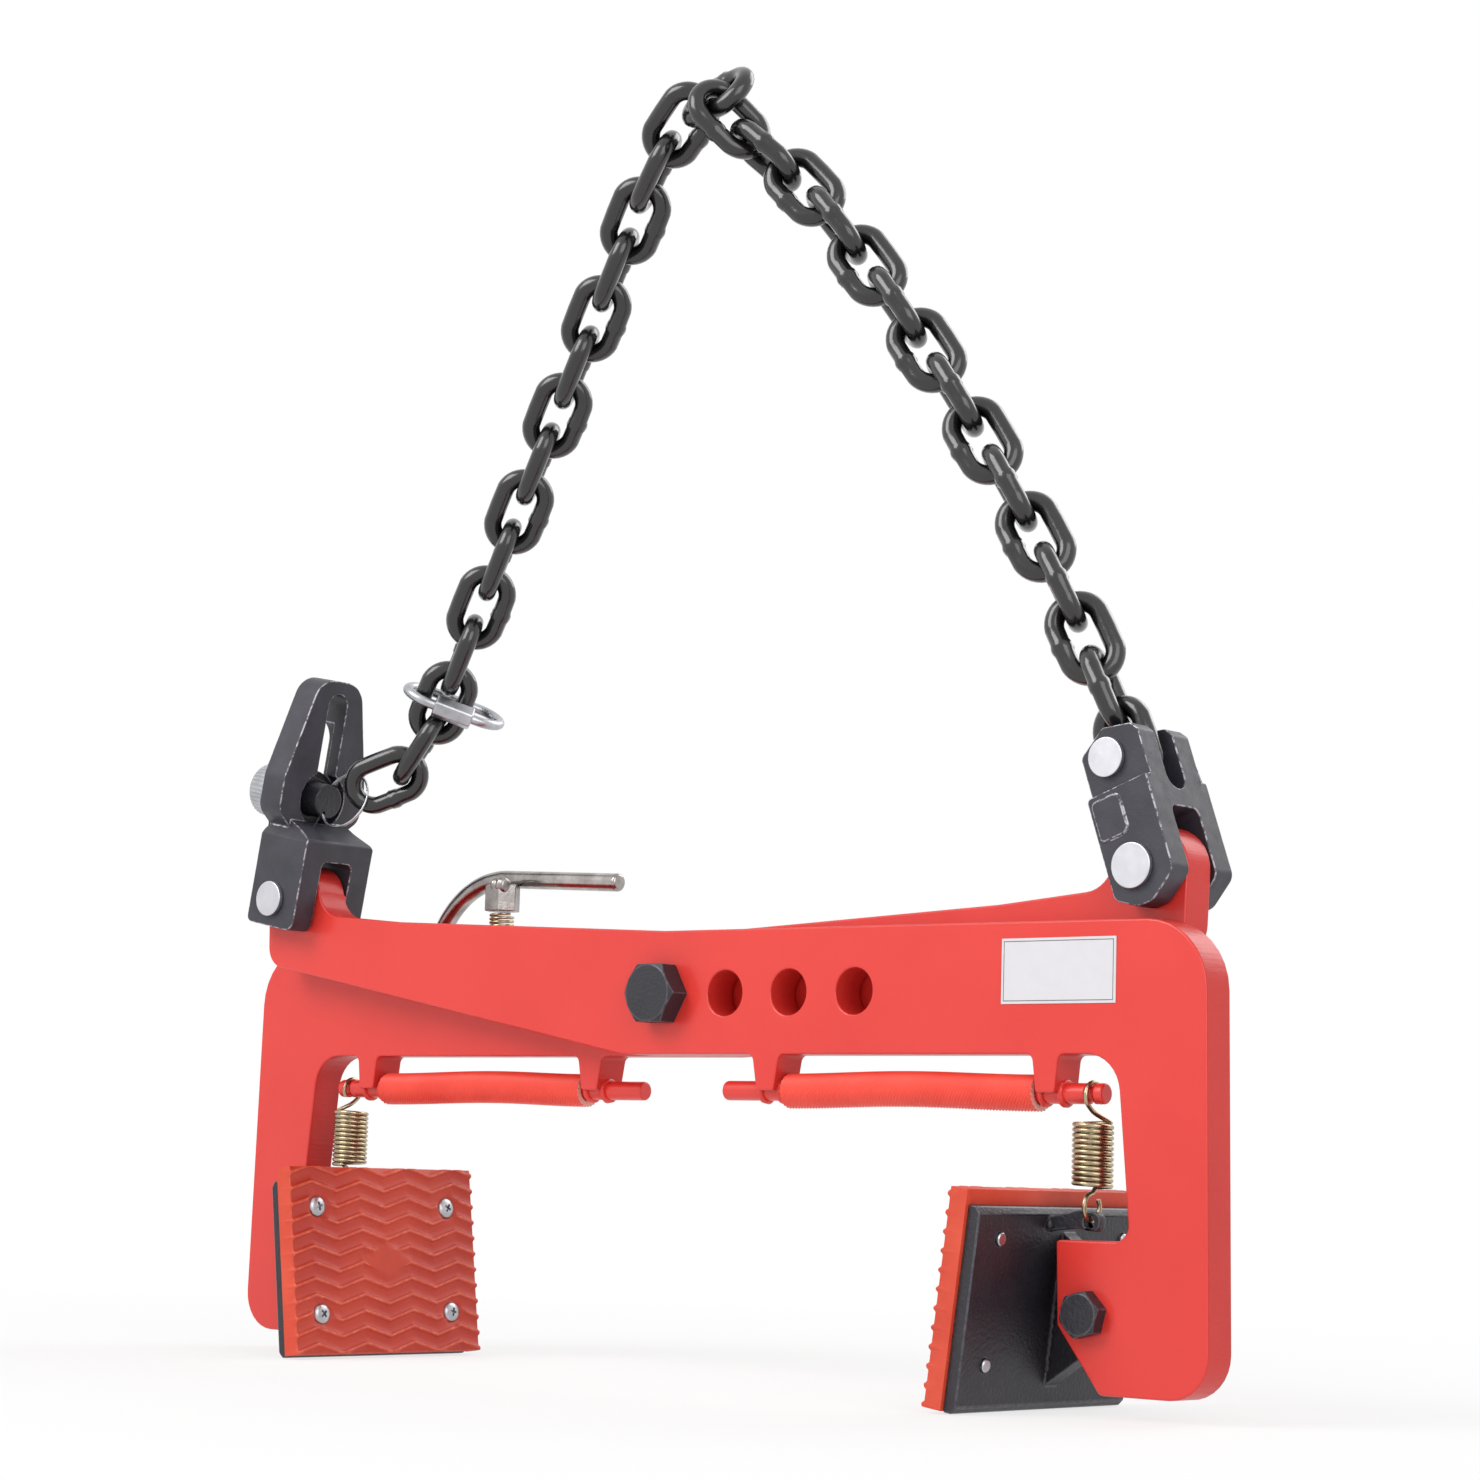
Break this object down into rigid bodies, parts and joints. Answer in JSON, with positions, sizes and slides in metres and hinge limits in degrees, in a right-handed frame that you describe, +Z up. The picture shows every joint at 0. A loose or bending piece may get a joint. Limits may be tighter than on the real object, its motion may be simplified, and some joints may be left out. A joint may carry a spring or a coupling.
{
  "type": "scissor lifting clamp",
  "caption": "Scissor clamp for lifting stone: two crossed red arms with rubber pads and round handles, pulled shut by a black chain.",
  "frame": {"origin": "on the floor under the main bolt, midway between the two arms", "axes": "+Z up; +X to the pad of the front arm; +Y from the front arm to the back arm"},
  "size_m": [0.541, 0.111, 0.5494],
  "materials": {
    "red_paint": "gloss",
    "black_coat": "satin",
    "black_chain": "gloss",
    "pad_rubber": "matte",
    "handle_rubber": "satin",
    "yellow_zinc": "satin",
    "zinc": "satin",
    "chrome": "polished",
    "label": "satin"
  },
  "bodies": {
    "frame": {"front_arm": "red_paint", "pivot_bolt": "black_coat", "pivot_bush": "zinc", "pivot_spacer": "zinc", "pivot_nut": "black_coat", "front_handle_rod": "red_paint", "front_handle_sleeve": "handle_rubber", "label_plate": "label", "right_pad_bolt": "black_coat", "right_pad_nut": "black_coat", "right_pad_spring": "yellow_zinc"},
    "back_arm": {"back_arm": "red_paint", "back_handle_rod": "red_paint", "back_handle_sleeve": "handle_rubber", "left_pad_bolt": "black_coat", "left_pad_nut": "black_coat", "left_pad_spring": "yellow_zinc", "latch_stud": "zinc", "latch_spring": "yellow_zinc", "latch_pivot_bolt": "black_coat"},
    "right_pad": {"right_pad_carrier": "black_coat", "right_pad_rubber": "pad_rubber", "right_pad_screws": "zinc"},
    "left_pad": {"left_pad_carrier": "black_coat", "left_pad_rubber": "pad_rubber", "left_pad_screws": "zinc"},
    "left_chain": {"keyhole_fork": "black_chain", "keyhole_fork_pin": "zinc", "left_chain_leg": "black_chain", "top_link": "black_chain"},
    "right_chain": {"chain_coupling": "black_chain", "coupling_lug_pin": "zinc", "coupling_link_pin": "zinc", "right_chain_leg": "black_chain"},
    "plunger": {"locking_plunger": "zinc"},
    "ring": {"split_ring": "zinc"},
    "quick_link": {"quick_link": "zinc"},
    "quick_nut": {"quick_link_nut": "zinc"},
    "latch": {"latch_lever": "chrome", "latch_nut": "zinc"}
  },
  "joints": [
    {"name": "scissor", "type": "hinge", "parent": "frame", "child": "back_arm", "pos_m": [0, 0, 0.1588], "axis": [0, -1, 0], "range_deg": [0, 30]},
    {"name": "right_pad_tilt", "type": "hinge", "parent": "frame", "child": "right_pad", "pos_m": [0.2172, 0, 0.0376], "axis": [0, -1, 0], "range_deg": [0, 12], "stiffness_Nm_per_rad": 4, "springref_deg": -5.73, "deforming": ["right_pad_spring"]},
    {"name": "left_pad_tilt", "type": "hinge", "parent": "back_arm", "child": "left_pad", "pos_m": [-0.2172, 0, 0.0376], "axis": [0, 1, 0], "range_deg": [0, 12], "stiffness_Nm_per_rad": 4, "springref_deg": -5.73, "deforming": ["left_pad_spring"]},
    {"name": "left_chain_swing", "type": "hinge", "parent": "frame", "child": "left_chain", "pos_m": [-0.232, -0.0085, 0.2043], "axis": [0, -1, 0], "range_deg": [0, 17.7]},
    {"name": "right_chain_swing", "type": "hinge", "parent": "back_arm", "child": "right_chain", "pos_m": [0.232, 0.0085, 0.2043], "axis": [0, 1, 0], "range_deg": [0, 18.18]},
    {"name": "plunger_slide", "type": "slide", "parent": "left_chain", "child": "plunger", "axis": [0.982, 0, -0.1891], "range_m": [0, 0.005], "stiffness_N_per_m": 500, "springref_m": -0.004},
    {"name": "ring_turn", "type": "hinge", "parent": "plunger", "child": "ring", "pos_m": [-0.20876, -0.0077, 0.25042], "axis": [-0.0647, 0.9397, -0.3359], "continuous": true},
    {"name": "quick_link_slide", "type": "slide", "parent": "left_chain", "child": "quick_link", "axis": [0.5889, 0.7472, -0.3082], "range_m": [-0.008, 0.0004]},
    {"name": "quick_nut_turn", "type": "hinge", "parent": "quick_link", "child": "quick_nut", "pos_m": [-0.15284, 0.00482, 0.2892], "axis": [0.5889, 0.7472, -0.3082], "continuous": true},
    {"name": "latch_push", "type": "hinge", "parent": "back_arm", "child": "latch", "pos_m": [-0.17606, 0.021, 0.1744], "axis": [0, 1, 0], "range_deg": [0, 5], "stiffness_Nm_per_rad": 2, "springref_deg": -8.59, "deforming": ["latch_spring"]}
  ],
  "couplings": [
    {"joint": "left_chain_swing", "follows": "scissor", "ratio": 0.59},
    {"joint": "right_chain_swing", "follows": "scissor", "ratio": 0.606}
  ]
}
